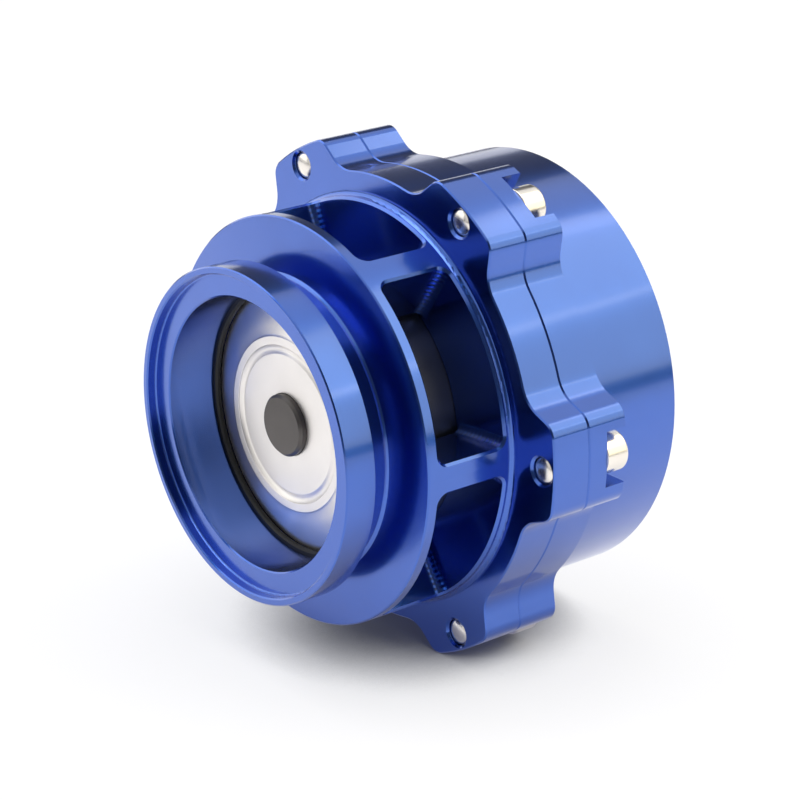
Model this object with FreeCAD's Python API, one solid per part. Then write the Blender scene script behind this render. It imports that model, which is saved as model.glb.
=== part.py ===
import FreeCAD, Part
import math
import os

# Blow-off valve, millimetres.
# The valve's axis is Y. The inlet opens towards -Y and its lip starts at y = 0.
# +Z is up, and the valve lies on its two lowest lugs.
# Angles run about the axis from +X towards +Z.

Vector = FreeCAD.Vector
AXIS = Vector(0, 1, 0)
ORIGIN = Vector(0, 0, 0)
OVER = 1.0                      # how far a cutting solid runs past the face it opens
EDGE = 0.25                     # broken edge on turned and milled corners

# Inlet lip and groove for the clamp
BORE_R = 25.0
REGISTER_STEP = 4.3             # register wider than the bore, on the radius
REGISTER_DEPTH = 1.95
REGISTER_CORNER = 0.35          # rounding at the register's bottom
LIP_WALL = 1.4                  # lip round the register
LIP_LENGTH = 6.3
CLAMP_ANGLE = 20.0              # slope of the lip's rear flank
NECK_WALL = 2.3
NECK_LENGTH = 11.3              # from the lip's front to the disc's face at the neck
NECK_CORNER = 0.5
DISC_CONE = 0.75                # the disc's face leans back by this much at its rim
DISC_THICK = 2.45               # at its rim

# Outlet windows
WINDOW_LENGTH = 14.6
WINDOW_ANGLE = 51.6
WINDOW_FILLET = 2.0
WINDOW_EDGE = 0.45              # broken edge where a window opens outwards
WINDOW_COUNT = 6
RIB_STEP = 0.6                  # ribs stand back from the bore by this much
RIB_DEPTH = 12.0

# Flanges
FLANGE_WALL = 1.8               # from the windows to the flange's front
BODY_FLANGE = 8.1
CAP_FLANGE = 8.6
FLANGE_STEP = 2.1               # flange beyond the cap's side
SHOULDER_RISE = 0.9             # shoulder beyond the ribs
SHOULDER_STEP = 0.3
LUG_HEIGHT = 6.1                # lug beyond the flange
LUG_COUNT = 6
LUG_HALF_WIDTH = 8.2            # at the lug's outer face
LUG_FLANK_ANGLE = 21.5          # each flank against the lug's centre line
LUG_CORNER = 3.0
LUG_ROOT = 6.0

# Screws
BOLT_EDGE = 3.3                 # from a screw's centre line to the lug's outer face
SCREW_R = 2.45
SCREW_GAP = 0.05
TIP_CHAMFER = 0.5
TIP_RECESS = 0.1
COUNTERSINK = 0.4
HEAD_RISE = 1.3                 # head wider than the shank, on the radius
HEAD_HEIGHT = 4.9
HEAD_CHAMFER = 0.6
SOCKET_WIDTH = 4.0
SOCKET_DEPTH = 2.5
HEAD_SEAT_DEPTH = 4.1           # from the parting face to the pocket's floor
HEAD_ROOM = 1.45                # pocket wall to head

# Cap
CAP_WALL = 4.9
CAP_LENGTH = 28.6               # from the parting face to its end
CAP_END_WALL = 3.5
CAP_CHAMFER = 0.6
CAP_ROOT = 0.6
CAP_INNER_CORNER = 2.0
PORT_R = 4.3
PORT_WALL = 4.2
PORT_LENGTH = 7.4
PORT_CHAMFER = 0.8

# Seat
SEAL_WIDTH = 1.9                # on the radius
SEAL_THICK = 1.3
SEAL_CHAMFER = 0.35
SEAL_LAP = 0.35                 # the seal reaches in over the piston's edge
SEAL_REACH = 0.1                # its groove reaches behind the piston's edge
SEAL_GROOVE_GAP = 0.05          # seal to groove, at its sides and its bottom
SEAT_LIP_GAP = 0.45

# Valve piston
PISTON_STEP = 0.6               # piston smaller than the bore, on the radius
PISTON_WALL = 2.3
EDGE_SETBACK = 1.5              # from the piston's edge to the windows
FACE_RISE = 2.9                 # ring in front of the piston's edge
CENTRE_R = 12.9
CENTRE_DROP = 0.15
DISH_WIDTH = 1.7
DISH_DEPTH = 0.5
RING_WIDTH = 1.5
RING_STEP = 0.4
FACE_CROWN = 0.1                # how far the sloping face bulges at its middle
FACE_WALL = 3.5
BOSS_WALL = 3.25

# Stud
STUD_R = 5.7
STUD_STANDS = 1.35
STUD_CHAMFER = 0.5
STUD_FIT = 0.05
STUD_SHOULDER = 6.2             # from the shoulder to the piston's rear face
SHANK_STEP = 1.7                # shank smaller than the stud, on the radius
SHANK_GAP = 0.2
STUD_END_FREE = 1.0             # shank beyond the nut
STUD_SEAL = 1.4                 # side of the seal's square section
STUD_SEAL_CORNER = 0.3
STUD_SEAL_OFFSET = 4.0          # in front of the shoulder
WASHER_R = 8.0
WASHER_THICK = 1.6
NUT_WIDTH = 13.0
NUT_HEIGHT = 4.5

# Guide
GUIDE_GAP = 0.05                # bush to piston, all round
GUIDE_LIP_GAP = 0.15
GUIDE_LIP = 1.3
BUSH_WALL = 1.85
CIRCLIP_THICK = 1.0
CIRCLIP_WIDTH = 1.7
CIRCLIP_SINK = 0.8              # depth of the groove
CIRCLIP_SIDE = 0.05
CIRCLIP_GAP_ANGLE = 26.0
CIRCLIP_EAR_R = 1.6
CIRCLIP_EAR_HOLE_R = 0.7
HUB_WALL = 2.4
HUB_END = 1.2                   # hub behind the circlip groove
WEB = 4.0
STOP_GAP = 0.3                  # left at each end of the stroke

# Diaphragm stack
DIAPHRAGM = 0.9
DIAPHRAGM_SIDE = 0.05
RIM_WIDTH = 5.4                 # diaphragm rim clamped between the flanges
CHAMBER_STEP = 5.6              # chamber wall beyond the hub
FOLD_GAP = 0.4                  # fold to plate and to chamber
FOLD_HEIGHT = 3.6
FOLD_TOP = 1.6                  # half the width of the fold's flat top
PLATE = 1.5
PLATE_STEP = 2.2                # plate wider than the piston, on the radius
PLATE_CHAMFER = 0.4
CUP_STEP = 0.6                  # cup smaller than the plate, on the radius
CUP_BASE = 1.5
CUP_WALL = 2.8
CUP_HEIGHT = 6.0
CUP_CHAMFER = 0.8

# Spring
STROKE = 12.0
WIRE_R = 1.2
SPRING_ROOM = 3.5               # from the wire to the cup's wall
SPRING_TURNS = 3.25
SPRING_SIDE = 0.05
WIRE_SIDES = 10
STEPS_PER_TURN = 12
SHIM = 1.0
SHIM_HALF_WIDTH = 2.2
SHIM_FIT = 0.2

# Places along the axis that follow from the sizes above
disc_face = NECK_LENGTH + DISC_CONE
window_front = disc_face + DISC_THICK
window_back = window_front + WINDOW_LENGTH
flange_front = window_back + FLANGE_WALL
parting = flange_front + BODY_FLANGE
cap_flange_back = parting + CAP_FLANGE
cap_end = parting + CAP_LENGTH
cap_inner_end = cap_end - CAP_END_WALL
head_seat = parting + HEAD_SEAT_DEPTH
face_edge = window_front - EDGE_SETBACK
seal_groove_back = face_edge + SEAL_REACH
seal_groove_front = seal_groove_back - SEAL_THICK - 2 * SEAL_GROOVE_GAP
ring_face = face_edge - FACE_RISE
rim_seat = parting - DIAPHRAGM
plate_back = rim_seat - DIAPHRAGM_SIDE
plate_front = plate_back - PLATE
cup_front = parting + DIAPHRAGM_SIDE
cup_back = cup_front + CUP_BASE
hub_back = plate_front - STOP_GAP
circlip_back = hub_back - HUB_END
circlip_front = circlip_back - CIRCLIP_THICK - 2 * CIRCLIP_SIDE
bush_back = circlip_front
bush_front = window_back + GUIDE_LIP
shim_front = cap_inner_end - SHIM
spring_front = cup_back + SPRING_SIDE
spring_back = shim_front - SPRING_SIDE
stop_face = cup_front + CUP_HEIGHT + STROKE + STOP_GAP
washer_back = cup_back + WASHER_THICK
nut_back = washer_back + NUT_HEIGHT
stud_front = ring_face + CENTRE_DROP - STUD_STANDS
stud_shoulder = plate_front - STUD_SHOULDER
stud_end = nut_back + STUD_END_FREE

# Radii that follow from the sizes above, from the bore outwards
register_r = BORE_R + REGISTER_STEP
lip_r = register_r + LIP_WALL
neck_r = BORE_R + NECK_WALL
rib_inner_r = BORE_R + RIB_STEP
barrel_r = rib_inner_r + RIB_DEPTH
shoulder_r = barrel_r + SHOULDER_RISE
piston_r = BORE_R - PISTON_STEP
seal_inner_r = piston_r - SEAL_LAP
seal_outer_r = seal_inner_r + SEAL_WIDTH
guide_r = piston_r + GUIDE_GAP
bush_outer_r = guide_r + BUSH_WALL
circlip_outer_r = bush_outer_r + CIRCLIP_SINK
hub_r = circlip_outer_r + HUB_WALL
chamber_r = hub_r + CHAMBER_STEP
rim_r = chamber_r + RIM_WIDTH
cap_r = chamber_r + CAP_WALL
flange_r = cap_r + FLANGE_STEP
lug_r = flange_r + LUG_HEIGHT
bolt_circle_r = lug_r - BOLT_EDGE
plate_r = piston_r + PLATE_STEP
fold_mid_r = (plate_r + chamber_r) / 2
fold_r = (chamber_r - plate_r) / 2 - FOLD_GAP
cup_outer_r = plate_r - CUP_STEP
cup_inner_r = cup_outer_r - CUP_WALL
spring_r = cup_inner_r - SPRING_ROOM - WIRE_R
shim_outer_r = spring_r + SHIM_HALF_WIDTH
ring_inner_r = CENTRE_R + DISH_WIDTH
ring_outer_r = ring_inner_r + RING_WIDTH
stud_bore_r = STUD_R + STUD_FIT
piston_boss_r = stud_bore_r + BOSS_WALL
shank_r = STUD_R - SHANK_STEP
shank_hole_r = shank_r + SHANK_GAP
port_boss_r = PORT_R + PORT_WALL
screw_hole_r = SCREW_R + SCREW_GAP
head_r = SCREW_R + HEAD_RISE
pocket_half_width = head_r + HEAD_ROOM


def about_axis(shape, angle):
    """The shape turned about the valve's axis, from +X towards +Z."""
    turned_shape = shape.copy()
    turned_shape.rotate(ORIGIN, AXIS, -angle)
    return turned_shape


def outline(start, *stops):
    """A closed face in the X-Y plane. A stop is a point, or a pair of points that an arc passes."""
    edges = []
    here = Vector(start[0], start[1], 0)
    for stop in stops + (start,):
        if isinstance(stop[0], tuple):
            middle = Vector(stop[0][0], stop[0][1], 0)
            there = Vector(stop[1][0], stop[1][1], 0)
            edges.append(Part.Arc(here, middle, there).toShape())
        else:
            there = Vector(stop[0], stop[1], 0)
            edges.append(Part.LineSegment(here, there).toShape())
        here = there
    return Part.Face(Part.Wire(edges))


def turned(face, degrees=360):
    """The face revolved about the valve's axis."""
    return face.revolve(ORIGIN, AXIS, degrees)


def round_bar(radius, start, end, x=0.0):
    """A cylinder along the axis, with its centre line at the given x."""
    return Part.makeCylinder(radius, end - start, Vector(x, start, 0), AXIS)


def quarter(centre, radius, degrees):
    """The middle point of a quarter arc, at this angle from its centre."""
    angle = math.radians(degrees)
    return (centre[0] + radius * math.cos(angle), centre[1] + radius * math.sin(angle))


def hexagon(width, start, end):
    """A six-sided bar along the axis, with this width across its flats."""
    corner_r = width / math.sqrt(3)
    corners = []
    for number in range(6 + 1):
        angle = math.radians(60 * number)
        corners.append(Vector(corner_r * math.cos(angle), start, corner_r * math.sin(angle)))
    return Part.Face(Part.makePolygon(corners)).extrude(Vector(0, end - start, 0))


def flat_ring(inner_r, outer_r, front, thick, corner):
    """A ring of rectangular section with its four corners broken."""
    back = front + thick
    return turned(outline(
        (inner_r, front + corner),
        (inner_r + corner, front),
        (outer_r - corner, front),
        (outer_r, front + corner),
        (outer_r, back - corner),
        (outer_r - corner, back),
        (inner_r + corner, back),
        (inner_r, back - corner),
    ))


def lug_blank(start, end):
    """One lug at angle 0, before its corners are rounded."""
    slope = math.tan(math.radians(LUG_FLANK_ANGLE))
    root_x = flange_r - LUG_ROOT
    face_x = lug_r + OVER
    face_z = LUG_HALF_WIDTH - OVER * slope
    root_z = LUG_HALF_WIDTH + (lug_r - root_x) * slope
    corners = (
        Vector(root_x, start, -root_z),
        Vector(face_x, start, -face_z),
        Vector(face_x, start, face_z),
        Vector(root_x, start, root_z),
        Vector(root_x, start, -root_z),
    )
    wedge = Part.Face(Part.makePolygon(corners)).extrude(Vector(0, end - start, 0))
    return wedge.common(round_bar(lug_r, start, end))


def along_axis(edge):
    """Whether a straight edge runs along the valve's axis."""
    if len(edge.Vertexes) != 2:
        return False
    first, second = (vertex.Point for vertex in edge.Vertexes)
    return abs(first.x - second.x) + abs(first.z - second.z) < 1e-6


def axial_edges(shape, low_r, high_r):
    """The edges along the axis between two radii."""
    found = []
    for edge in shape.Edges:
        if along_axis(edge):
            point = edge.Vertexes[0].Point
            if low_r < math.hypot(point.x, point.z) < high_r:
                found.append(edge)
    return found


def flange(start, end):
    """The round plate with its six lugs, which both flanges share."""
    plate = round_bar(flange_r, start, end)
    for number in range(LUG_COUNT):
        plate = plate.fuse(about_axis(lug_blank(start, end), 360 / LUG_COUNT * number))
    plate = plate.removeSplitter()
    middle_r = (flange_r + lug_r) / 2
    plate = plate.makeFillet(LUG_CORNER, axial_edges(plate, middle_r, lug_r + OVER))
    return plate.makeFillet(LUG_ROOT, axial_edges(plate, flange_r - EDGE, flange_r + EDGE))


def rim_edges(shape, y):
    """The edges of a flange's outline that lie in the plane at y."""
    found = []
    for edge in shape.Edges:
        box = edge.BoundBox
        flat = abs(box.YMin - y) < 1e-4 and abs(box.YMax - y) < 1e-4
        if flat and math.hypot(edge.CenterOfMass.x, edge.CenterOfMass.z) > flange_r - LUG_ROOT:
            found.append(edge)
    return found


def edged_flange(start, end):
    """A flange with its outline broken at both faces."""
    plate = flange(start, end)
    return plate.makeChamfer(EDGE, rim_edges(plate, start) + rim_edges(plate, end))


def window_cutter():
    """The milled space of one window, centred on angle 0."""
    inner_r = piston_r - OVER
    outer_r = barrel_r + 4 * OVER
    section = outline(
        (inner_r, window_front), (outer_r, window_front), (outer_r, window_back), (inner_r, window_back)
    )
    sector = about_axis(turned(section, WINDOW_ANGLE), WINDOW_ANGLE / 2)
    corners = []
    for edge in sector.Edges:
        if edge.Curve.TypeId == "Part::GeomLine" and edge.BoundBox.YLength < 1e-6:
            corners.append(edge)
    return sector.makeFillet(WINDOW_FILLET, corners)


def window_edges(body):
    """The edges along which the windows open in the ribs' outer faces."""
    found = []
    for edge in body.Edges:
        first, middle, last = edge.discretize(3)
        on_rib = all(abs(math.hypot(point.x, point.z) - barrel_r) < 1e-3 for point in (first, middle, last))
        if on_rib and window_front - EDGE / 2 < middle.y < window_back + EDGE / 2:
            found.append(edge)
    return found


def body_outside():
    """The outer form of the body in front of its flange, with no hollow."""
    flank = (lip_r - neck_r) * math.tan(math.radians(CLAMP_ANGLE))
    shoulder = (shoulder_r, flange_front - SHOULDER_STEP - SHOULDER_RISE)
    return turned(outline(
        (0, 0),
        (lip_r - EDGE, 0),
        (lip_r, EDGE),
        (lip_r, LIP_LENGTH - EDGE),
        (lip_r - EDGE, LIP_LENGTH),
        (neck_r, LIP_LENGTH + flank),
        (neck_r, NECK_LENGTH - NECK_CORNER),
        (neck_r + NECK_CORNER, NECK_LENGTH),
        (barrel_r - EDGE, disc_face),
        (barrel_r, disc_face + EDGE),
        (barrel_r, shoulder[1]),
        (quarter(shoulder, SHOULDER_RISE, 135), (shoulder_r, shoulder[1] + SHOULDER_RISE)),
        (shoulder_r, parting),
        (0, parting),
    ))


def body_hollow():
    """Everything that is bored out of the body, from the inlet to the parting face."""
    corner = (register_r - REGISTER_CORNER, REGISTER_DEPTH - REGISTER_CORNER)
    return turned(outline(
        (0, -OVER),
        (register_r + EDGE + OVER, -OVER),
        (register_r, EDGE),
        (register_r, corner[1]),
        (quarter(corner, REGISTER_CORNER, 45), (corner[0], REGISTER_DEPTH)),
        (BORE_R + EDGE, REGISTER_DEPTH),
        (BORE_R, REGISTER_DEPTH + EDGE),
        (BORE_R, seal_groove_front),
        (seal_outer_r + SEAL_GROOVE_GAP, seal_groove_front),
        (seal_outer_r + SEAL_GROOVE_GAP, seal_groove_back),
        (piston_r + SEAT_LIP_GAP, seal_groove_back),
        (piston_r + SEAT_LIP_GAP, window_front),
        (rib_inner_r, window_front),
        (rib_inner_r, window_back),
        (piston_r + GUIDE_LIP_GAP, window_back),
        (piston_r + GUIDE_LIP_GAP, bush_front),
        (bush_outer_r, bush_front),
        (bush_outer_r, circlip_front),
        (circlip_outer_r, circlip_front),
        (circlip_outer_r, circlip_back),
        (bush_outer_r, circlip_back),
        (bush_outer_r, hub_back),
        (hub_r, hub_back),
        (hub_r, window_back + WEB),
        (chamber_r, window_back + WEB),
        (chamber_r, rim_seat),
        (rim_r, rim_seat),
        (rim_r, parting + OVER),
        (0, parting + OVER),
    ))


def screw_hole(front, back, mouth):
    """The hole for one screw at angle 0, countersunk at the mouth."""
    hole = round_bar(screw_hole_r, front - OVER, back + OVER, bolt_circle_r)
    cone = Part.makeCone(
        screw_hole_r + COUNTERSINK + OVER, screw_hole_r, COUNTERSINK + OVER,
        Vector(bolt_circle_r, mouth - OVER, 0), AXIS,
    )
    return hole.fuse(cone)


def valve_body():
    """Inlet neck, disc, ribs, bulkhead and front flange, cut from one bar."""
    body = body_outside().fuse(edged_flange(flange_front, parting))
    body = body.cut(body_hollow())
    for number in range(WINDOW_COUNT):
        pitch = 360 / WINDOW_COUNT
        body = body.cut(about_axis(window_cutter(), pitch * (number + 0.5)))
    body = body.makeChamfer(WINDOW_EDGE, window_edges(body))
    for number in range(LUG_COUNT):
        hole = screw_hole(flange_front, parting, flange_front)
        body = body.cut(about_axis(hole, 360 / LUG_COUNT * number))
    return body


def head_pocket():
    """The milled pocket for one screw's head at angle 0, open outwards and to the rear."""
    length = cap_flange_back + CAP_ROOT + OVER - head_seat
    corner = Vector(chamber_r, head_seat, -pocket_half_width)
    box = Part.makeBox(lug_r + OVER - corner.x, length, 2 * pocket_half_width, corner)
    return box.cut(round_bar(cap_r, head_seat - OVER, head_seat + length + OVER))


def cap_outside():
    """The outer form of the cap behind its flange, with no hollow."""
    root = (cap_r + CAP_ROOT, cap_flange_back + CAP_ROOT)
    return turned(outline(
        (0, parting),
        (root[0], parting),
        (root[0], cap_flange_back),
        (quarter(root, CAP_ROOT, 225), (cap_r, root[1])),
        (cap_r, cap_end - CAP_CHAMFER),
        (cap_r - CAP_CHAMFER, cap_end),
        (0, cap_end),
    ))


def cap_hollow():
    """The spring chamber, with the ring that stops the valve and centres the spring."""
    shim_seat_r = shim_outer_r + SHIM_FIT
    boss_front = cap_end - PORT_LENGTH
    return turned(outline(
        (0, parting - OVER),
        (chamber_r, parting - OVER),
        (chamber_r, cap_inner_end - CAP_INNER_CORNER),
        (chamber_r - CAP_INNER_CORNER, cap_inner_end),
        (cup_outer_r, cap_inner_end),
        (cup_outer_r, stop_face),
        (shim_seat_r, stop_face),
        (shim_seat_r, cap_inner_end),
        (port_boss_r, cap_inner_end),
        (port_boss_r, boss_front),
        (0, boss_front),
    ))


def cap():
    """Rear cup with its flange, screw pockets and signal port."""
    shell = cap_outside().fuse(edged_flange(parting, cap_flange_back))
    shell = shell.cut(cap_hollow())
    port = round_bar(PORT_R, parting, cap_end + OVER)
    mouth = Part.makeCone(
        PORT_R, PORT_R + PORT_CHAMFER + OVER, PORT_CHAMFER + OVER,
        Vector(0, cap_end - PORT_CHAMFER, 0), AXIS,
    )
    shell = shell.cut(port.fuse(mouth))
    for number in range(LUG_COUNT):
        space = head_pocket().fuse(round_bar(screw_hole_r, parting - OVER, head_seat + OVER, bolt_circle_r))
        shell = shell.cut(about_axis(space, 360 / LUG_COUNT * number))
    return shell


def seat_seal():
    """Flat rubber ring in the body's groove, which the edge of the valve's face closes on."""
    front = seal_groove_front + SEAL_GROOVE_GAP
    return flat_ring(seal_inner_r, seal_outer_r, front, SEAL_THICK, SEAL_CHAMFER)


def guide_bush():
    """Plastic sleeve that the piston slides in."""
    return turned(outline(
        (guide_r + EDGE, bush_front),
        (bush_outer_r, bush_front),
        (bush_outer_r, bush_back),
        (guide_r + EDGE, bush_back),
        (guide_r, bush_back - EDGE),
        (guide_r, bush_front + EDGE),
    ))


def bush_circlip():
    """Spring ring behind the sleeve, with two ears at its gap."""
    front = circlip_front + CIRCLIP_SIDE
    back = front + CIRCLIP_THICK
    inner_r = circlip_outer_r - CIRCLIP_WIDTH
    section = outline(
        (inner_r, front), (circlip_outer_r, front), (circlip_outer_r, back), (inner_r, back)
    )
    ring = about_axis(turned(section, 360 - CIRCLIP_GAP_ANGLE), 90 - CIRCLIP_GAP_ANGLE / 2)
    ear_x = bush_outer_r - CIRCLIP_EAR_R
    for side in (-1, 1):
        angle = 90 + side * CIRCLIP_GAP_ANGLE / 2
        ear = round_bar(CIRCLIP_EAR_R, front, back, ear_x)
        hole = round_bar(CIRCLIP_EAR_HOLE_R, front - OVER, back + OVER, ear_x)
        ring = ring.fuse(about_axis(ear, angle)).cut(about_axis(hole, angle))
    return ring.cut(round_bar(piston_r + GUIDE_LIP_GAP, front - OVER, back + OVER))


def valve_piston():
    """Cup-shaped valve: ringed front face, thin skirt and a boss for the stud."""
    step_r = ring_outer_r + RING_STEP
    centre_face = ring_face + CENTRE_DROP
    slope_start = (step_r, ring_face + RING_STEP)
    slope_end = (piston_r - EDGE, face_edge)
    slope_middle = (
        (slope_start[0] + slope_end[0]) / 2,
        (slope_start[1] + slope_end[1]) / 2 - FACE_CROWN,
    )
    dish_middle = ((CENTRE_R + ring_inner_r) / 2, centre_face + DISH_DEPTH)
    pocket_front = face_edge + FACE_WALL
    skirt_inner_r = piston_r - PISTON_WALL
    return turned(outline(
        (stud_bore_r, centre_face),
        (CENTRE_R, centre_face),
        (dish_middle, (ring_inner_r, centre_face)),
        (ring_inner_r, ring_face),
        (ring_outer_r, ring_face),
        slope_start,
        (slope_middle, slope_end),
        (piston_r, face_edge + EDGE),
        (piston_r, plate_front - EDGE),
        (piston_r - EDGE, plate_front),
        (skirt_inner_r, plate_front),
        (skirt_inner_r, pocket_front),
        (piston_boss_r, pocket_front),
        (piston_boss_r, plate_front),
        (shank_hole_r, plate_front),
        (shank_hole_r, stud_shoulder),
        (stud_bore_r, stud_shoulder),
    ))


def stud_seal_front():
    """Where the stud's seal starts along the axis."""
    return stud_shoulder - STUD_SEAL_OFFSET - STUD_SEAL / 2


def centre_stud():
    """Steel stud through the piston, with a round end in the valve's face."""
    groove_r = STUD_R - STUD_SEAL
    groove_front = stud_seal_front() - SEAL_GROOVE_GAP
    groove_back = stud_seal_front() + STUD_SEAL + SEAL_GROOVE_GAP
    return turned(outline(
        (0, stud_front),
        (STUD_R - STUD_CHAMFER, stud_front),
        (STUD_R, stud_front + STUD_CHAMFER),
        (STUD_R, groove_front),
        (groove_r, groove_front),
        (groove_r, groove_back),
        (STUD_R, groove_back),
        (STUD_R, stud_shoulder),
        (shank_r, stud_shoulder),
        (shank_r, stud_end - STUD_CHAMFER),
        (shank_r - STUD_CHAMFER, stud_end),
        (0, stud_end),
    ))


def stud_seal():
    """Square rubber ring in the stud's groove."""
    return flat_ring(STUD_R - STUD_SEAL, STUD_R, stud_seal_front(), STUD_SEAL, STUD_SEAL_CORNER)


def piston_plate():
    """Plate between the piston and the diaphragm, broken where the rubber bends over it."""
    return turned(outline(
        (shank_hole_r, plate_front),
        (plate_r, plate_front),
        (plate_r, plate_back - PLATE_CHAMFER),
        (plate_r - PLATE_CHAMFER, plate_back),
        (shank_hole_r, plate_back),
    ))


def diaphragm():
    """Rubber disc with one round fold between the plates and the clamped rim."""
    lean = (fold_r - FOLD_TOP) / FOLD_HEIGHT
    across = DIAPHRAGM * math.hypot(1, lean)
    inner_foot = fold_r - across + DIAPHRAGM * lean
    inner_top = inner_foot - FOLD_HEIGHT * lean
    return turned(outline(
        (shank_hole_r, rim_seat),
        (fold_mid_r - inner_foot, rim_seat),
        (fold_mid_r - inner_top, rim_seat + FOLD_HEIGHT),
        (fold_mid_r + inner_top, rim_seat + FOLD_HEIGHT),
        (fold_mid_r + inner_foot, rim_seat),
        (rim_r, rim_seat),
        (rim_r, parting),
        (fold_mid_r + fold_r, parting),
        (fold_mid_r + FOLD_TOP, parting + FOLD_HEIGHT),
        (fold_mid_r - FOLD_TOP, parting + FOLD_HEIGHT),
        (fold_mid_r - fold_r, parting),
        (shank_hole_r, parting),
    ))


def spring_cup():
    """Dished plate behind the diaphragm. Its rim stops the stroke against the cap."""
    rim_back = cup_front + CUP_HEIGHT
    return turned(outline(
        (shank_hole_r, cup_front),
        (cup_outer_r - CUP_CHAMFER, cup_front),
        (cup_outer_r, cup_front + CUP_CHAMFER),
        (cup_outer_r, rim_back),
        (cup_inner_r, rim_back),
        (cup_inner_r, cup_back + CUP_CHAMFER),
        (cup_inner_r - CUP_CHAMFER, cup_back),
        (shank_hole_r, cup_back),
    ))


def stud_washer():
    """Plain washer under the nut."""
    return turned(outline(
        (shank_hole_r, cup_back),
        (WASHER_R, cup_back),
        (WASHER_R, washer_back - EDGE),
        (WASHER_R - EDGE, washer_back),
        (shank_hole_r, washer_back),
    ))


def stud_nut():
    """Six-sided nut with rounded-off corners."""
    chamfer = NUT_WIDTH / math.sqrt(3) - NUT_WIDTH / 2
    envelope = turned(outline(
        (shank_r, washer_back),
        (NUT_WIDTH / 2 + chamfer, washer_back),
        (NUT_WIDTH / 2 + chamfer, nut_back - chamfer / 2),
        (NUT_WIDTH / 2, nut_back),
        (shank_r, nut_back),
    ))
    return envelope.common(hexagon(NUT_WIDTH, washer_back, nut_back))


def wire_section(angle, rise):
    """The wire's outline, square to the wire, where the coil has turned by this angle."""
    slope = math.atan2(rise, 2 * math.pi * spring_r)
    out = Vector(math.cos(angle), 0, math.sin(angle))
    along = Vector(-math.sin(angle) * math.cos(slope), math.sin(slope), math.cos(angle) * math.cos(slope))
    up = along.cross(out)
    middle = out * spring_r + Vector(0, spring_front + WIRE_R + rise * angle / (2 * math.pi), 0)
    corners = []
    for number in range(WIRE_SIDES + 1):
        turn = 2 * math.pi * number / WIRE_SIDES
        corners.append(middle + out * (WIRE_R * math.cos(turn)) + up * (WIRE_R * math.sin(turn)))
    return Part.makePolygon(corners)


def main_spring():
    """Wound wire spring between the cup and the shim, drawn with flat-sided wire."""
    rise = (spring_back - spring_front - 2 * WIRE_R) / SPRING_TURNS
    steps = round(SPRING_TURNS * STEPS_PER_TURN)
    sections = []
    for number in range(steps + 1):
        sections.append(wire_section(2 * math.pi * SPRING_TURNS * number / steps, rise))
    return Part.makeLoft(sections, True, True)


def spring_shim():
    """Hardened ring between the spring and the cap."""
    inner_r = spring_r - SHIM_HALF_WIDTH
    return turned(outline(
        (inner_r, shim_front), (shim_outer_r, shim_front),
        (shim_outer_r, cap_inner_end), (inner_r, cap_inner_end),
    ))


def cap_screw():
    """One socket screw at angle 0, from its tip in the front flange to its head in the pocket."""
    tip = flange_front + TIP_RECESS
    head_back = head_seat + HEAD_HEIGHT
    screw = turned(outline(
        (0, tip),
        (SCREW_R - TIP_CHAMFER, tip),
        (SCREW_R, tip + TIP_CHAMFER),
        (SCREW_R, head_seat),
        (head_r, head_seat),
        (head_r, head_back - HEAD_CHAMFER),
        (head_r - HEAD_CHAMFER, head_back),
        (0, head_back),
    ))
    screw = screw.cut(hexagon(SOCKET_WIDTH, head_back - SOCKET_DEPTH, head_back + OVER))
    screw.translate(Vector(bolt_circle_r, 0, 0))
    return screw


def save(shape, node):
    """Write one piece, after making sure that it is one sound solid."""
    solid = shape.Solids[0]
    if len(shape.Solids) != 1 or not solid.isValid():
        raise ValueError(node + " is not one sound solid")
    solid.exportStep("parts/" + node + ".step")


os.makedirs("parts", exist_ok=True)
save(valve_body(), "valve_body")
save(cap(), "cap")
save(seat_seal(), "seat_seal")
save(guide_bush(), "guide_bush")
save(bush_circlip(), "bush_circlip")
save(valve_piston(), "valve_piston")
save(centre_stud(), "centre_stud")
save(stud_seal(), "stud_seal")
save(piston_plate(), "piston_plate")
save(diaphragm(), "diaphragm")
save(spring_cup(), "spring_cup")
save(stud_washer(), "stud_washer")
save(stud_nut(), "stud_nut")
save(main_spring(), "main_spring")
save(spring_shim(), "spring_shim")
for number in range(LUG_COUNT):
    save(about_axis(cap_screw(), 360 / LUG_COUNT * number), "cap_screw_" + str(number + 1))
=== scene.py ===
"""Blow-off valve: finishes, screws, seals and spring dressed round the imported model, in a plain studio."""

import logging
import math
from dataclasses import dataclass
from enum import Enum
from typing import Any

import bpy
from mathutils import Matrix, Vector


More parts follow.
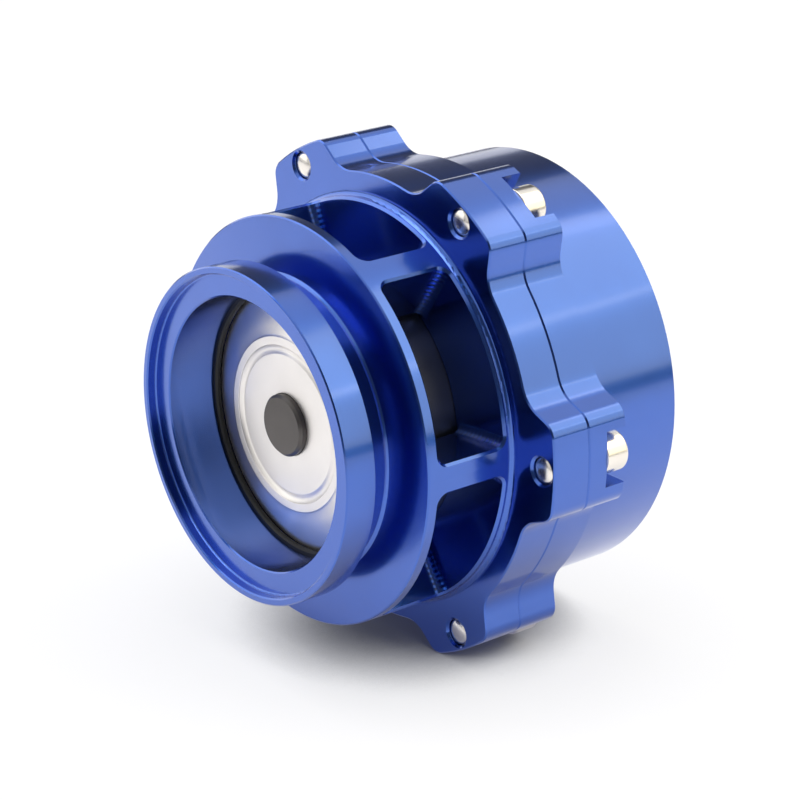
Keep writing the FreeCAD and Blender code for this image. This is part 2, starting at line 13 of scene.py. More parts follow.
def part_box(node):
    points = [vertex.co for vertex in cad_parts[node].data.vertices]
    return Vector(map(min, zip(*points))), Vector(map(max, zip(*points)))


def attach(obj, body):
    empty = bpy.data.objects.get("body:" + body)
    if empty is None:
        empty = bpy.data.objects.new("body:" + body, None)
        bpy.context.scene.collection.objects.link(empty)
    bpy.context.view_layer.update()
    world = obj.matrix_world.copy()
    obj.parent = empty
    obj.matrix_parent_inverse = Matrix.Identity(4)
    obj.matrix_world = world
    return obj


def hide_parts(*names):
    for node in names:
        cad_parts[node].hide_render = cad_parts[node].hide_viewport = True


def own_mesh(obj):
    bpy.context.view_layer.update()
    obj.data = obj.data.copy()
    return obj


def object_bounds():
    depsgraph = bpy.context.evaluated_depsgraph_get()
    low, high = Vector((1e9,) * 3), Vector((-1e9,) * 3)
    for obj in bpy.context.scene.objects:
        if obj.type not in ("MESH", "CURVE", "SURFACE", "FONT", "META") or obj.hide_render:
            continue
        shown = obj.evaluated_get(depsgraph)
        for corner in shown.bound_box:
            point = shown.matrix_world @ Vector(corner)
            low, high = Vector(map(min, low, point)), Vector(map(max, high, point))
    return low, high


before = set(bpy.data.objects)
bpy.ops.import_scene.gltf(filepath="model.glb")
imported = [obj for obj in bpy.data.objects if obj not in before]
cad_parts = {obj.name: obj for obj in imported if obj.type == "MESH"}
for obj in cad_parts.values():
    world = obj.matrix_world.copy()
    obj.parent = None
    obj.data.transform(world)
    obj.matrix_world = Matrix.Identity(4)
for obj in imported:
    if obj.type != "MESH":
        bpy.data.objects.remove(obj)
cad_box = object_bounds()

log = logging.getLogger("blow_off_valve")
MM = 0.001

# Colour sockets of the Mix node, by index: its number and vector sockets have the same names.
MIX_A, MIX_B, MIX_RESULT = 6, 7, 2
# Where the values of a noise texture mostly lie.
NOISE_LOW, NOISE_HIGH = 0.3, 0.7
# Layers of finer noise in the haze and in the fine marks.
HAZE_DETAIL = 3.0
MARK_DETAIL = 2.0
# Points nearer than this are joined, in millimetres.
WELD_MM = 0.001
# Corners blunter than this keep their edge, in degrees.
BLUNT_DEG = 30.0
# The same on forms with coarser curves, whose steps must not count as corners.
CURVE_DEG = 50.0
# The highest weight: the largest faces set the shading.
NORMAL_WEIGHT = 100


class Body(Enum):
    """The two moving bodies of the valve."""

    HOUSING = "housing"
    VALVE = "valve"


class Slot(Enum):
    """Material slots that the record names."""

    ALUMINIUM = "polished_aluminium"
    STAINLESS = "stainless_steel"
    RUBBER = "black_rubber"
    SPRING = "spring_steel"


class Marks(Enum):
    """How a surface was cut, which sets the way its fine marks run."""

    TURNED = "rings about the valve's axis"
    GROUND = "short scratches every way"


def linear(code: str) -> tuple[float, float, float, float]:
    """Turn an sRGB hex colour into linear RGBA.

    Args:
        code: Six hex digits after a hash sign.

    Returns:
        Red, green, blue and alpha for a shader socket.
    """
    shares = [int(code[place:place + 2], 16) / 255 for place in (1, 3, 5)]
    # The sRGB curve: a straight start, then a power.
    lit = [c / 12.92 if c <= 0.04045 else ((c + 0.055) / 1.055) ** 2.4 for c in shares]
    return (lit[0], lit[1], lit[2], 1.0)


def add_node(tree: Any, kind: str, settings: dict[str, Any], links: dict[str | int, Any]) -> Any:
    """Add one node to a tree.

    Args:
        tree: The node tree.
        kind: The node's type name.
        settings: Attributes by name, and socket values by socket name or index.
        links: Output sockets to join, by the name or index of the input that takes them.

    Returns:
        The new node.
    """
    node = tree.nodes.new(kind)
    for key, value in settings.items():
        if isinstance(key, str) and hasattr(node, key):
            setattr(node, key, value)
        else:
            node.inputs[key].default_value = value
    for key, output in links.items():
        tree.links.new(output, node.inputs[key])
    return node


@dataclass(frozen=True)
class WindowMarks:
    """Steps that the end mill left in the windows' corners, one at each depth of cut."""

    step_mm: float = 1.0
    height_mm: float = 0.04
    inner_mm: float = 25.8
    outer_mm: float = 37.0
    corner_low: float = 0.12
    corner_high: float = 0.98


@dataclass(frozen=True)
class Finish:
    """One surface finish: a base look, and fine marks from the way it was made."""

    name: str
    colour: str
    deep_colour: str
    roughness: float
    metallic: float = 1.0
    anisotropic: float = 0.0
    coat: float = 0.0
    coat_roughness: float = 0.1
    coat_ior: float = 1.5
    marks: Marks = Marks.GROUND
    mark_pitch_mm: float = 0.3
    mark_depth_mm: float = 0.002
    roughness_swing: float = 0.05
    haze_mm: float = 9.0
    # Painted shade: past this radius from the axis the colour turns to this dark one, for the shade on a
    # skirt seen deep in the windows.
    painted_shade_skirt_colour: str = ""
    skirt_shade_from_mm: float = 0.0
    window_marks: WindowMarks | None = None

    def material(self) -> bpy.types.Material:
        """Build the finish as a material."""
        material = bpy.data.materials.new(self.name)
        material.use_nodes = True
        tree = material.node_tree
        tree.nodes.clear()
        place = add_node(tree, "ShaderNodeTexCoord", {}, {})
        height = self.mark_height(tree, place.outputs["Object"])
        if self.window_marks:
            steps = self.step_height(tree, place, self.window_marks)
            height = add_node(tree, "ShaderNodeMath", {"operation": "ADD"}, {0: height, 1: steps}).outputs[0]
        bump = add_node(tree, "ShaderNodeBump", {"Strength": 1.0, "Distance": 1.0}, {"Height": height})
        haze = add_node(
            tree, "ShaderNodeTexNoise", {"Scale": 1 / (self.haze_mm * MM), "Detail": HAZE_DETAIL},
            {"Vector": place.outputs["Object"]},
        )
        satin = add_node(
            tree, "ShaderNodeMapRange",
            {
                "From Min": NOISE_LOW, "From Max": NOISE_HIGH,
                "To Min": self.roughness - self.roughness_swing,
                "To Max": self.roughness + self.roughness_swing,
            },
            {"Value": haze.outputs["Fac"]},
        )
        tone = add_node(
            tree, "ShaderNodeMix",
            {"data_type": "RGBA", MIX_A: linear(self.colour), MIX_B: linear(self.deep_colour)},
            {0: haze.outputs["Fac"]},
        )
        # Painted shade: beyond the skirt's radius the base colour gives way to the dark skirt colour.
        if self.painted_shade_skirt_colour:
            radius, _ = polar(tree, place.outputs["Object"])
            in_shaded_skirt = add_node(
                tree, "ShaderNodeMath", {"operation": "GREATER_THAN", 1: self.skirt_shade_from_mm * MM},
                {0: radius},
            )
            tone = add_node(
                tree, "ShaderNodeMix", {"data_type": "RGBA", MIX_B: linear(self.painted_shade_skirt_colour)},
                {0: in_shaded_skirt.outputs[0], MIX_A: tone.outputs[MIX_RESULT]},
            )
        settings = {
            "Metallic": self.metallic,
            "Anisotropic": self.anisotropic,
            "Coat Weight": self.coat,
            "Coat Roughness": self.coat_roughness,
            "Coat IOR": self.coat_ior,
        }
        links = {
            "Base Color": tone.outputs[MIX_RESULT],
            "Normal": bump.outputs["Normal"],
            "Roughness": satin.outputs["Result"],
        }
        if self.anisotropic:
            ring = add_node(tree, "ShaderNodeTangent", {"direction_type": "RADIAL", "axis": "Y"}, {})
            links["Tangent"] = ring.outputs["Tangent"]
        shader = add_node(tree, "ShaderNodeBsdfPrincipled", settings, links)
        add_node(tree, "ShaderNodeOutputMaterial", {}, {"Surface": shader.outputs["BSDF"]})
        return material

    def mark_height(self, tree: Any, place: Any) -> Any:
        """Height of the fine marks, in metres.

        Args:
            tree: The material's node tree.
            place: The object coordinates.

        Returns:
            The output socket that carries the height.
        """
        scale = 1 / (self.mark_pitch_mm * MM)
        if self.marks is Marks.TURNED:
            radius, along = polar(tree, place)
            path = add_node(tree, "ShaderNodeMath", {"operation": "ADD"}, {0: radius, 1: along})
            grain = add_node(
                tree, "ShaderNodeTexNoise",
                {"noise_dimensions": "1D", "Scale": scale, "Detail": MARK_DETAIL},
                {"W": path.outputs["Value"]},
            )
        else:
            grain = add_node(
                tree, "ShaderNodeTexNoise", {"Scale": scale, "Detail": MARK_DETAIL}, {"Vector": place},
            )
        depth = add_node(
            tree, "ShaderNodeMath", {"operation": "MULTIPLY", 1: self.mark_depth_mm * MM},
            {0: grain.outputs["Fac"]},
        )
        return depth.outputs["Value"]

    def step_height(self, tree: Any, place: Any, marks: WindowMarks) -> Any:
        """Height of the end mill's steps in the windows' rounded corners, in metres.

        Args:
            tree: The material's node tree.
            place: The texture coordinate node.
            marks: The steps' sizes.

        Returns:
            The output socket that carries the height, which is 0 outside those corners.
        """
        radius, _ = polar(tree, place.outputs["Object"])
        wave = add_node(
            tree, "ShaderNodeMath", {"operation": "PINGPONG", 1: marks.step_mm / 2 * MM}, {0: radius},
        )
        facing = add_node(tree, "ShaderNodeSeparateXYZ", {}, {"Vector": place.outputs["Normal"]})
        share = add_node(tree, "ShaderNodeMath", {"operation": "ABSOLUTE"}, {0: facing.outputs["Y"]})
        tests = (
            ("GREATER_THAN", share.outputs[0], marks.corner_low),
            ("LESS_THAN", share.outputs[0], marks.corner_high),
            ("GREATER_THAN", radius, marks.inner_mm * MM),
            ("LESS_THAN", radius, marks.outer_mm * MM),
        )
        height = add_node(
            tree, "ShaderNodeMath", {"operation": "MULTIPLY", 1: 2 * marks.height_mm / marks.step_mm},
            {0: wave.outputs[0]},
        ).outputs[0]
        for operation, value, limit in tests:
            gate = add_node(tree, "ShaderNodeMath", {"operation": operation, 1: limit}, {0: value})
            height = add_node(
                tree, "ShaderNodeMath", {"operation": "MULTIPLY"}, {0: height, 1: gate.outputs[0]},
            ).outputs[0]
        return height


def polar(tree: Any, place: Any) -> tuple[Any, Any]:
    """Measure from the valve's axis.

    Args:
        tree: The material's node tree.
        place: The object coordinates.

    Returns:
        The sockets that carry the distance from the axis and the place along it, in metres.
    """
    parts = add_node(tree, "ShaderNodeSeparateXYZ", {}, {"Vector": place})
    flat = add_node(
        tree, "ShaderNodeCombineXYZ", {}, {"X": parts.outputs["X"], "Z": parts.outputs["Z"]},
    )
    length = add_node(tree, "ShaderNodeVectorMath", {"operation": "LENGTH"}, {0: flat.outputs["Vector"]})
    return length.outputs["Value"], parts.outputs["Y"]


ANODISED = Finish(
    # Turned and milled aluminium, polished, then dyed and sealed. The dye gives a deep blue mirror,
    # and the clear oxide over it lifts the highlights towards white.
    name="blue_anodised_aluminium", colour="#2f5fbc", deep_colour="#2b59b4", roughness=0.24, coat=1.0,
    coat_ior=1.6, coat_roughness=0.13, anisotropic=0.3, marks=Marks.TURNED, mark_pitch_mm=0.22,
    mark_depth_mm=0.0004, roughness_swing=0.02, window_marks=WindowMarks(),
)
TURNED_ALUMINIUM = Finish(
    # Bare turned aluminium, buffed: pale warm grey, with fine rings that draw the light out across them.
    # The skirt that runs in the bush is painted a dark, dull grey: painted shade, for the shade on it deep in
    # the windows.
    name="turned_bare_aluminium", colour="#f0ece6", deep_colour="#e9e5df", roughness=0.4, anisotropic=0.2,
    marks=Marks.TURNED, mark_pitch_mm=0.2, mark_depth_mm=0.0006, painted_shade_skirt_colour="#74767c", skirt_shade_from_mm=24.3,
)
PLAIN_ALUMINIUM = Finish(
    # Pressed and turned inner plates, bare and a little dull.
    name="plain_aluminium", colour="#c9cbce", deep_colour="#bfc1c4", roughness=0.38, marks=Marks.TURNED,
)
BLACK_STEEL = Finish(
    # Black-oxide steel, oiled: dark, warm and softly glossy.
    name="black_oxide_steel", colour="#66625f", deep_colour="#5c5956", roughness=0.4, marks=Marks.TURNED,
    mark_pitch_mm=0.2, mark_depth_mm=0.0015,
)
ZINC_PLATED = Finish(
    # Zinc-plated washer and nut: grey with a faint blue tinge.
    name="zinc_plated_steel", colour="#b9bcc2", deep_colour="#aeb2b8", roughness=0.32, marks=Marks.TURNED,
)
STAINLESS = Finish(
    # Stainless screws, tumbled bright: slightly warm mirrors, a little soft.
    name="polished_stainless_steel", colour="#efeae2", deep_colour="#e6e0d6", roughness=0.24,
    mark_pitch_mm=0.4, mark_depth_mm=0.0006, roughness_swing=0.03, haze_mm=3.0,
)
SPRING_STEEL = Finish(
    # Drawn and oil-hardened wire: grey with a blue tinge.
    name="oil_hardened_wire", colour="#7d8088", deep_colour="#70737b", roughness=0.3,
)
RUBBER = Finish(
    # Moulded nitrile rubber: near black with a soft, low sheen.
    name="nitrile_rubber", colour="#0c0d0f", deep_colour="#0f1012", roughness=0.55, metallic=0.0,
    mark_pitch_mm=0.25, mark_depth_mm=0.004,
)
BEARING_PLASTIC = Finish(
    # Machined bearing plastic: off-white, waxy.
    name="filled_bearing_plastic", colour="#d8d4c4", deep_colour="#cfcbba", roughness=0.45, metallic=0.0,
    marks=Marks.TURNED, mark_pitch_mm=0.25,
)


def clear_selection() -> None:
    """Leave edit mode and deselect everything, so that an operator acts on one piece alone."""
    if bpy.context.object and bpy.context.object.mode != "OBJECT":
        bpy.ops.object.mode_set(mode="OBJECT")
    bpy.ops.object.select_all(action="DESELECT")


def lathe(name: str, centre: Vector, stations: list[tuple[float, float]], sides: int, closed: bool) -> Any:
    """Model a turned piece by drawing a circle out along the Y axis, station by station.

    Args:
        name: The piece's name.
        centre: A point on the piece's own axis, in metres.
        stations: Place along Y and radius of each edge circle, in millimetres.
        sides: How many sides the round form has.
        closed: True for a ring, whose last station joins its first, and False for a bar with two ends.

    Returns:
        The new object, with its place in its mesh.
    """
    clear_selection()
    start, radius = stations[0]
    bpy.ops.mesh.primitive_circle_add(
        vertices=sides, radius=radius * MM, fill_type="NOTHING" if closed else "NGON",
        location=(centre.x, start * MM, centre.z), rotation=(math.pi / 2, 0, 0),
    )
    piece = bpy.context.object
    piece.name = name
    bpy.ops.object.transform_apply(location=True, rotation=True, scale=True)
    bpy.ops.object.mode_set(mode="EDIT")
    bpy.ops.mesh.select_all(action="SELECT")
    for here, wide in stations[1:]:
        bpy.ops.mesh.extrude_region_move(TRANSFORM_OT_translate={"value": (0, (here - start) * MM, 0)})
        share = wide / radius
        bpy.ops.transform.resize(value=(share, 1, share), center_override=(centre.x, here * MM, centre.z))
        start, radius = here, wide
    bpy.ops.mesh.select_all(action="SELECT")
    bpy.ops.mesh.remove_doubles(threshold=WELD_MM * MM)
    bpy.ops.mesh.normals_make_consistent(inside=False)
    bpy.ops.object.mode_set(mode="OBJECT")
    return piece


def apply_modifier(piece: Any, kind: str, settings: dict[str, Any]) -> None:
    """Add a modifier to a piece and apply it.

    Args:
        piece: The object.
        kind: The modifier's type name.
        settings: The modifier's settings by name.
    """
    clear_selection()
    bpy.context.view_layer.objects.active = piece
    piece.select_set(True)
    modifier = piece.modifiers.new(kind.lower(), kind)
    for key, value in settings.items():
        setattr(modifier, key, value)
    bpy.ops.object.modifier_apply(modifier=modifier.name)


def soften(piece: Any, width_mm: float, segments: int, angle: float = BLUNT_DEG) -> None:
    """Round a piece's edges, and shade it so that its flats stay flat.

    Args:
        piece: The object.
        width_mm: Width of the rounding.
        segments: Steps in the rounding.
        angle: Sharpest turn in degrees that is left alone.
    """
    apply_modifier(piece, "BEVEL", {
        "width": width_mm * MM, "segments": segments, "limit_method": "ANGLE",
        "angle_limit": math.radians(angle),
    })
    clear_selection()
    bpy.context.view_layer.objects.active = piece
    piece.select_set(True)
    bpy.ops.object.shade_smooth()
    apply_modifier(piece, "WEIGHTED_NORMAL", {"mode": "FACE_AREA", "weight": NORMAL_WEIGHT})


def wear(piece: Any, material: bpy.types.Material) -> None:
    """Give a piece one material all over."""
    piece.data.materials.clear()
    piece.data.materials.append(material)


def place_piece(piece: Any, body: Body, slot: Slot, finish: bpy.types.Material, *nodes: str) -> None:
    """Finish a new piece: its material, its body and the nodes that it stands for.

    Args:
        piece: The object.
        body: The body that it rides on.
        slot: Not used; the record's slot for its finish.
        finish: Its material.
        *nodes: The nodes that it replaces.
    """
    wear(piece, finish)
    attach(piece, body.value)
    if nodes:
        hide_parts(*nodes)
    log.info("%s rides on the %s, %d faces", piece.name, body.value, len(piece.data.polygons))


def span(node: str) -> tuple[float, float, float, float]:
    """A node's extent in millimetres: its lowest and highest X, then its front and back along the axis."""
    low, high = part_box(node)
    return low.x / MM, high.x / MM, low.y / MM, high.y / MM


@dataclass
class DressedNodes:
    """The nodes that are shown as they are, by the finish each one wears."""

    finishes: tuple[tuple[Finish, tuple[str, ...]], ...] = (
        (ANODISED, ("valve_body", "cap")),
        (PLAIN_ALUMINIUM, ("piston_plate", "spring_cup")),
        (BLACK_STEEL, ("centre_stud", "spring_shim", "bush_circlip")),
        (ZINC_PLATED, ("stud_washer", "stud_nut")),
        (RUBBER, ("seat_seal", "stud_seal")),
        (BEARING_PLASTIC, ("guide_bush",)),
    )

    def dress(self) -> None:
        """Put each finish on its nodes."""
        for finish, names in self.finishes:
            material = finish.material()
            for name in names:
                wear(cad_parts[name], material)
                log.info("%s wears %s", name, finish.name)


@dataclass
class ValvePiston:
    """The turned valve: a ringed face, a sloping rim, a thin skirt and a boss for the stud. Millimetres."""

    node: str = "valve_piston"
    sides: int = 240
    centre_r: float = 12.9
    centre_drop: float = 0.15
    dish_width: float = 1.7
    dish_depth: float = 0.5
    dish_steps: int = 8
    ring_width: float = 1.5
    ring_step: float = 0.4
    rim_setback: float = 2.9
    rim_edge: float = 0.25
    slope_crown: float = 0.1
    slope_steps: int = 6
    skirt_wall: float = 2.3
    face_wall: float = 3.5
    boss_r: float = 9.0
    stud_bore_r: float = 5.75
    shank_hole_r: float = 4.2
    shoulder_depth: float = 6.2
    edge_round: float = 0.16
    edge_steps: int = 3

    def face_stations(self, front: float, piston_r: float) -> list[tuple[float, float]]:
        """Stations across the face, from the stud's bore to the rim.

        Args:
            front: Place of the ring's land along the axis.
            piston_r: The skirt's radius.

        Returns:
            Place along the axis and radius of each station.
        """
        flat = front + self.centre_drop
        stations = [(flat, self.stud_bore_r), (flat, self.centre_r - self.dish_width)]
        for number in range(self.dish_steps + 1):
            share = number / self.dish_steps
            sag = self.dish_depth * math.sin(math.pi * share)
            stations.append((flat + sag, self.centre_r + self.dish_width * share))
        ring_inner = self.centre_r + self.dish_width
        ring_outer = ring_inner + self.ring_width
        stations += [(front, ring_inner), (front, ring_outer)]
        start_r = ring_outer + self.ring_step
        start_y = front + self.ring_step
        end_r = piston_r - self.rim_edge
        end_y = front + self.rim_setback
        for number in range(self.slope_steps + 1):
            share = number / self.slope_steps
            from_middle = 2 * share - 1
            bulge = self.slope_crown * (1 - from_middle**2)
            here = start_y + (end_y - start_y) * share - bulge
            stations.append((here, start_r + (end_r - start_r) * share))
        return stations

    def build(self) -> None:
        """Turn the piston and put it in place of its node."""
        low_x, high_x, front, back = span(self.node)
        piston_r = (high_x - low_x) / 2
        rim = front + self.rim_setback
        pocket = rim + self.face_wall
        skirt_inner_r = piston_r - self.skirt_wall
        shoulder = back - self.shoulder_depth
        stations = self.face_stations(front, piston_r)
        stations += [
            (rim + self.rim_edge, piston_r),
            ((rim + back) / 2, piston_r),
            (back - self.rim_edge, piston_r),
            (back, piston_r - self.rim_edge),
            (back, skirt_inner_r),
            (pocket, skirt_inner_r),
            (pocket, self.boss_r),
            (back, self.boss_r),
            (back, self.shank_hole_r),
            (shoulder, self.shank_hole_r),
            (shoulder, self.stud_bore_r),
            stations[0],
        ]
        piston = lathe("turned_piston", Vector((0, 0, 0)), stations, self.sides, True)
        soften(piston, self.edge_round, self.edge_steps)
        finish = TURNED_ALUMINIUM.material()
        place_piece(piston, Body.VALVE, Slot.ALUMINIUM, finish, self.node)


@dataclass
class ScrewSet:
    """The six socket screws: domed tips in the front flange, round-edged heads in pockets. Millimetres."""

    count: int = 6
    sides: int = 64
    shank_r: float = 2.45
    head_height: float = 4.9
    dome_height: float = 0.9
    dome_steps: int = 8
    head_round: float = 0.7
    round_steps: int = 5
    socket_sides: int = 6
    socket_width: float = 4.0
    socket_depth: float = 2.5
    edge_round: float = 0.12
    edge_steps: int = 2

    def model(self) -> Any:
        """Model the first screw: a turned bar with a six-sided socket cut in its head."""
        low_x, high_x, tip, back = span("cap_screw_1")
        centre = Vector(((low_x + high_x) / 2 * MM, 0, 0))
        head_r = (high_x - low_x) / 2
        stations = []
        for number in range(1, self.dome_steps + 1):
            turn = math.pi / 2 * number / self.dome_steps
            stations.append((tip + self.dome_height * (1 - math.cos(turn)), self.shank_r * math.sin(turn)))
        seat = back - self.head_height
        stations += [(seat, self.shank_r), (seat, head_r)]
        for number in range(self.round_steps + 1):
            turn = math.pi / 2 * number / self.round_steps
            stations.append((
                back - self.head_round * (1 - math.sin(turn)),
                head_r - self.head_round * (1 - math.cos(turn)),
            ))
        screw = lathe("socket_screw_1", centre, stations, self.sides, False)
        self.cut_socket(screw, centre, back)
        soften(screw, self.edge_round, self.edge_steps, CURVE_DEG)
        return screw

    def cut_socket(self, screw: Any, centre: Vector, back: float) -> None:
        """Cut the six-sided socket.

        Args:
            screw: The turned screw.
            centre: A point on its axis, in metres.
            back: Place of the head's flat end.
        """
        clear_selection()
        corner_r = self.socket_width / 2 / math.cos(math.pi / self.socket_sides)
        bpy.ops.mesh.primitive_cylinder_add(
            vertices=self.socket_sides, radius=corner_r * MM, depth=2 * self.socket_depth * MM,
            location=(centre.x, back * MM, centre.z), rotation=(math.pi / 2, 0, 0),
        )
        cutter = bpy.context.object
        bpy.ops.object.transform_apply(location=True, rotation=True, scale=True)
        apply_modifier(screw, "BOOLEAN", {"object": cutter, "operation": "DIFFERENCE", "solver": "EXACT"})
        bpy.data.objects.remove(cutter)

    def build(self) -> None:
        """Model one screw, copy it round the flange, and put the copies in place of their nodes."""
        first = self.model()
        finish = STAINLESS.material()
        screws = [first]
        for number in range(1, self.count):
            copy = first.copy()
            copy.data = first.data.copy()
            copy.name = "socket_screw_%d" % (number + 1)
            bpy.context.scene.collection.objects.link(copy)
            copy.data.transform(Matrix.Rotation(-2 * math.pi / self.count * number, 4, "Y"))
            screws.append(copy)
        for number, screw in enumerate(screws, 1):
            place_piece(screw, Body.HOUSING, Slot.STAINLESS, finish, "cap_screw_%d" % number)


@dataclass
class MainSpring:
    """The wound wire spring between the cup and the shim. Millimetres."""

    node: str = "main_spring"
    wire_r: float = 1.2
    turns: float = 3.25
    wire_sides: int = 20
    steps_per_turn: int = 48
    stroke: float = 12.0

    def build(self) -> None:
        """Wind the spring and put it in place of its node."""
        low_x, high_x, front, back = span(self.node)
        coil_r = (high_x - low_x) / 2 - self.wire_r
        clear_selection()
        bpy.ops.mesh.primitive_circle_add(
            vertices=self.wire_sides, radius=self.wire_r * MM, fill_type="NOTHING",
            location=(coil_r * MM, (front + self.wire_r) * MM, 0),
        )
        spring = bpy.context.object
        spring.name = "wound_spring"
        bpy.ops.object.transform_apply(location=True, rotation=True, scale=True)
        steps = round(self.turns * self.steps_per_turn)
        apply_modifier(spring, "SCREW", {
            "axis": "Y", "angle": -2 * math.pi * self.turns, "steps": steps, "render_steps": steps,
            "screw_offset": (back - front - 2 * self.wire_r) * MM, "use_smooth_shade": True,
        })
        bpy.ops.object.mode_set(mode="EDIT")
        bpy.ops.mesh.select_all(action="SELECT")
        bpy.ops.mesh.fill_holes(sides=0)
        bpy.ops.mesh.normals_make_consistent(inside=False)
        bpy.ops.object.mode_set(mode="OBJECT")
        place_piece(spring, Body.HOUSING, Slot.SPRING, SPRING_STEEL.material(), self.node)
        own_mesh(spring)


@dataclass
class Diaphragm:
    """The rubber diaphragm: a disc that moves with the valve, and a folded rim that the flanges clamp."""

    node: str = "diaphragm"
    sides: int = 160
    thick: float = 0.9
    hole_r: float = 4.2
    disc_r: float = 26.55
    fold_inner_r: float = 27.0
    fold_outer_r: float = 34.7
    fold_height: float = 3.6
    fold_steps: int = 12
    disc_round: float = 0.15
    fold_round: float = 0.1125
    edge_steps: int = 2

    def build(self) -> None:
        """Model the disc and the folded rim as two rings, and put them in place of the node."""
        low_x, high_x, front, _ = span(self.node)
        rim_r = (high_x - low_x) / 2
        back = front + self.thick
        rubber = RUBBER.material()
        disc = lathe("diaphragm_disc", Vector((0, 0, 0)), [
            (front, self.hole_r), (front, self.disc_r), (back, self.disc_r), (back, self.hole_r),
            (front, self.hole_r),
        ], self.sides, True)
        soften(disc, self.disc_round, self.edge_steps)
        place_piece(disc, Body.VALVE, Slot.RUBBER, rubber)
        middle = (self.fold_inner_r + self.fold_outer_r) / 2
        outer = (self.fold_outer_r - self.fold_inner_r) / 2
        inner = outer - self.thick
        stations = []
        for number in range(self.fold_steps + 1):
            turn = math.pi * number / self.fold_steps
            stations.append((back + self.fold_height * math.sin(turn), middle - outer * math.cos(turn)))
        stations += [(back, rim_r), (front, rim_r)]
        for number in range(self.fold_steps + 1):
            turn = math.pi * (1 - number / self.fold_steps)
            stations.append((front + self.fold_height * math.sin(turn), middle - inner * math.cos(turn)))
        stations.append(stations[0])
        fold = lathe("diaphragm_fold", Vector((0, 0, 0)), stations, self.sides, True)
        soften(fold, self.fold_round, self.edge_steps, CURVE_DEG)
        place_piece(fold, Body.HOUSING, Slot.RUBBER, rubber, self.node)


@dataclass
class Viewpoint:
    """Where the photograph was taken from."""

    azimuth: float = 51.374
    elevation: float = 21.083
    roll: float = -0.117
    distance_mm: float = 491.45
    shift_right_mm: float = 28.061
    shift_up_mm: float = 6.677
    focal_px: float = 2794.9
    image_px: float = 800.0
    sensor_mm: float = 36.0
    nearest_m: float = 0.01

    def build(self) -> None:
        """Place the camera."""
        turn, rise, tilt = (math.radians(v) for v in (self.azimuth, self.elevation, self.roll))
        back = Vector((math.sin(turn) * math.cos(rise), -math.cos(turn) * math.cos(rise), math.sin(rise)))
        level = Vector((0, 0, 1)).cross(back).normalized()
        upright = back.cross(level)
        right = math.cos(tilt) * level + math.sin(tilt) * upright
        above = math.cos(tilt) * upright - math.sin(tilt) * level
        eye = (self.distance_mm * back + self.shift_right_mm * right + self.shift_up_mm * above) * MM
        lens = bpy.data.cameras.new("camera")
        lens.sensor_width = self.sensor_mm
        lens.lens = self.focal_px / self.image_px * self.sensor_mm
        lens.clip_start = self.nearest_m
        camera = bpy.data.objects.new("camera", lens)
        axes = Matrix((right, above, back)).transposed().to_4x4()
        camera.matrix_world = Matrix.Translation(eye) @ axes
        bpy.context.scene.collection.objects.link(camera)
        bpy.context.scene.camera = camera


@dataclass
class Lamp:
    """One soft box: a square lamp that faces the valve."""

    name: str
    azimuth: float
    elevation: float
    width_m: float
    height_m: float
    watts: float
    colour: str = "#ffffff"
    distance_m: float = 1.1

    def build(self, target: Vector) -> None:
        """Hang the lamp so that it faces the target.

        Args:
            target: The point that the lamp faces, in metres.
        """
        turn, rise = math.radians(self.azimuth), math.radians(self.elevation)
        way = Vector((math.sin(turn) * math.cos(rise), -math.cos(turn) * math.cos(rise), math.sin(rise)))
        light = bpy.data.lights.new(self.name, "AREA")
        light.shape = "RECTANGLE"
        light.size = self.width_m
        light.size_y = self.height_m
        light.energy = self.watts
        light.color = linear(self.colour)[:3]
        lamp = bpy.data.objects.new(self.name, light)
        lamp.location = target + way * self.distance_m
        lamp.rotation_euler = way.to_track_quat("Z", "Y").to_euler()
        bpy.context.scene.collection.objects.link(lamp)


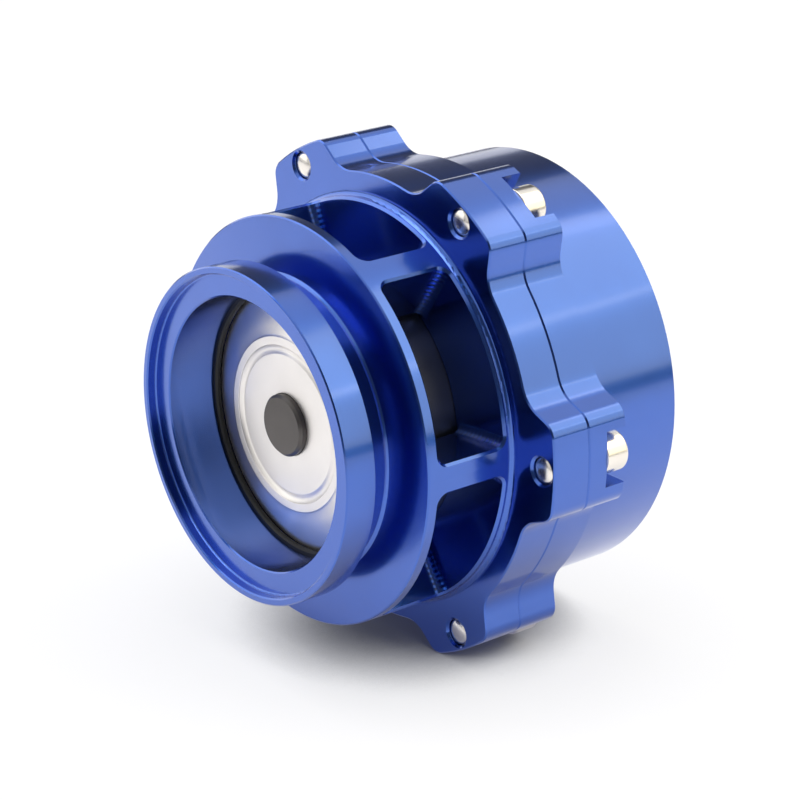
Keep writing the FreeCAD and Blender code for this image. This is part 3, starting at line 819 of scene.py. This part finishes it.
@dataclass
class Studio:
    """A round shooting table of white acrylic with a painted glow and a painted contact shadow, a dim room
    and soft boxes.
    """

    table_r: float = 0.6
    table_sides: int = 128
    table_x: float = 0.0
    table_y: float = 0.03
    fade_width: float = 0.08
    room: str = "#606064"
    paper: str = "#f2f2f3"
    paper_roughness: float = 0.9
    # Painted light: the table's own faint glow, which no lamp gives, lifts its shadows and brightens its
    # reflection in the valve; its blue tint is painted blue light bounced off the valve into the shadows.
    painted_glow: float = 0.12
    painted_bounce_tint: str = "#c4ccff"
    # Painted shadow: the share of the table, as the camera sees it, that is an emission darkened where
    # ambient occlusion finds the valve close above; the next four numbers shape it.
    camera_painted_shadow_share: float = 0.72
    painted_shadow_samples: int = 32
    painted_shadow_reach: float = 0.05
    painted_shadow_dark_at: float = 0.15
    painted_shadow_white_at: float = 0.48
    lamps: tuple[Lamp, ...] = (
        Lamp("box_key", 146, 44, 0.95, 0.56, 3.7, "#fff6d9"),
        Lamp("box_right", 130, 16, 1.2, 0.62, 3.7, "#fff6d9"),
        Lamp("box_behind", 176, 18, 0.5, 0.75, 1.4),
        Lamp("strip_low_left", -138, 6, 0.85, 0.28, 0.6),
        Lamp("box_left", -60, 18, 1.7, 0.75, 5.4),
        Lamp("box_front", 0, 18, 0.6, 0.75, 0.9),
        Lamp("strip_right", 92, 18, 0.45, 0.75, 0.7),
        Lamp("box_left_high", -60, 52, 0.75, 0.6, 2.5),
        Lamp("box_behind_high", -165, 54, 0.6, 0.55, 0.9),
        Lamp("box_front_high", 0, 54, 0.7, 0.55, 1.0),
        Lamp("box_above", 0, 90, 0.9, 0.9, 8.1),
    )

    def build(self) -> None:
        """Build the table, the world and the lamps."""
        low, high = cad_box
        table_middle = Vector((self.table_x, self.table_y, low.z))
        clear_selection()
        bpy.ops.mesh.primitive_circle_add(
            vertices=self.table_sides, radius=self.table_r, fill_type="NGON", location=table_middle,
        )
        table = bpy.context.object
        table.name = "studio_table"
        bpy.ops.object.transform_apply(location=True, rotation=True, scale=True)
        wear(table, self.paper_material(table_middle))
        for lamp in self.lamps:
            lamp.build(Vector((0, (low.y + high.y) / 2, 0)))
        self.room_light()

    def paper_material(self, middle: Vector) -> bpy.types.Material:
        """Matt white acrylic with the valve's shadow on it, which fades into the white room at its edge.

        The camera sees it as white with a painted shadow: an emission that is darker where ambient occlusion
        finds the valve close over it.

        Args:
            middle: The table's middle, in metres.

        Returns:
            The material.
        """
        material = bpy.data.materials.new("white_acrylic")
        material.use_nodes = True
        tree = material.node_tree
        tree.nodes.clear()
        place = add_node(tree, "ShaderNodeTexCoord", {}, {})
        away = add_node(
            tree, "ShaderNodeVectorMath", {"operation": "DISTANCE", 1: middle}, {0: place.outputs["Object"]},
        )
        fade = add_node(
            tree, "ShaderNodeMapRange",
            {
                "interpolation_type": "SMOOTHSTEP",
                "From Min": self.table_r - self.fade_width, "From Max": self.table_r,
            },
            {"Value": away.outputs["Value"]},
        )
        # The matt surface carries the painted glow: a faint bluish emission of its own.
        matt = add_node(
            tree, "ShaderNodeBsdfPrincipled",
            {
                "Base Color": linear(self.paper), "Roughness": self.paper_roughness,
                "Emission Color": linear(self.painted_bounce_tint), "Emission Strength": self.painted_glow,
            },
            {},
        )
        # Painted shadow: an emission that dims where ambient occlusion finds the valve close over the table.
        painted_shadow_occlusion = add_node(
            tree, "ShaderNodeAmbientOcclusion", {"samples": self.painted_shadow_samples, "Distance": self.painted_shadow_reach}, {},
        )
        painted_shadow_strength = add_node(
            tree, "ShaderNodeMapRange", {"From Min": self.painted_shadow_dark_at, "From Max": self.painted_shadow_white_at},
            {"Value": painted_shadow_occlusion.outputs["AO"]},
        )
        painted_glow = add_node(tree, "ShaderNodeEmission", {}, {"Strength": painted_shadow_strength.outputs["Result"]})
        path = add_node(tree, "ShaderNodeLightPath", {}, {})
        share = add_node(
            tree, "ShaderNodeMath", {"operation": "MULTIPLY", 1: self.camera_painted_shadow_share},
            {0: path.outputs["Is Camera Ray"]},
        )
        # The camera sees mostly the painted shadow; other rays see only the matt surface with its painted
        # glow.
        lit = add_node(
            tree, "ShaderNodeMixShader", {},
            {0: share.outputs["Value"], 1: matt.outputs["BSDF"], 2: painted_glow.outputs["Emission"]},
        )
        clear = add_node(tree, "ShaderNodeBsdfTransparent", {}, {})
        mixed = add_node(
            tree, "ShaderNodeMixShader", {},
            {0: fade.outputs["Result"], 1: lit.outputs["Shader"], 2: clear.outputs["BSDF"]},
        )
        add_node(tree, "ShaderNodeOutputMaterial", {}, {"Surface": mixed.outputs["Shader"]})
        return material

    def room_light(self) -> None:
        """Light the room dimly, and show it to the camera as white."""
        world = bpy.data.worlds.new("studio_room")
        bpy.context.scene.world = world
        world.use_nodes = True
        tree = world.node_tree
        tree.nodes.clear()
        dim = add_node(tree, "ShaderNodeBackground", {"Color": linear(self.room), "Strength": 1.0}, {})
        white = add_node(tree, "ShaderNodeBackground", {"Color": (1, 1, 1, 1), "Strength": 1.0}, {})
        path = add_node(tree, "ShaderNodeLightPath", {}, {})
        mixed = add_node(
            tree, "ShaderNodeMixShader", {},
            {
                0: path.outputs["Is Camera Ray"],
                1: dim.outputs["Background"],
                2: white.outputs["Background"],
            },
        )
        add_node(tree, "ShaderNodeOutputWorld", {}, {"Surface": mixed.outputs["Shader"]})


def main() -> None:
    """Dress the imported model, then build the studio round it."""
    logging.basicConfig(level=logging.INFO, format="%(message)s")
    Viewpoint().build()
    DressedNodes().dress()
    ValvePiston().build()
    ScrewSet().build()
    MainSpring().build()
    Diaphragm().build()
    Studio().build()
    bpy.context.scene.view_settings.view_transform = "Standard"
    bpy.context.view_layer.update()


if __name__ == "__main__":
    main()
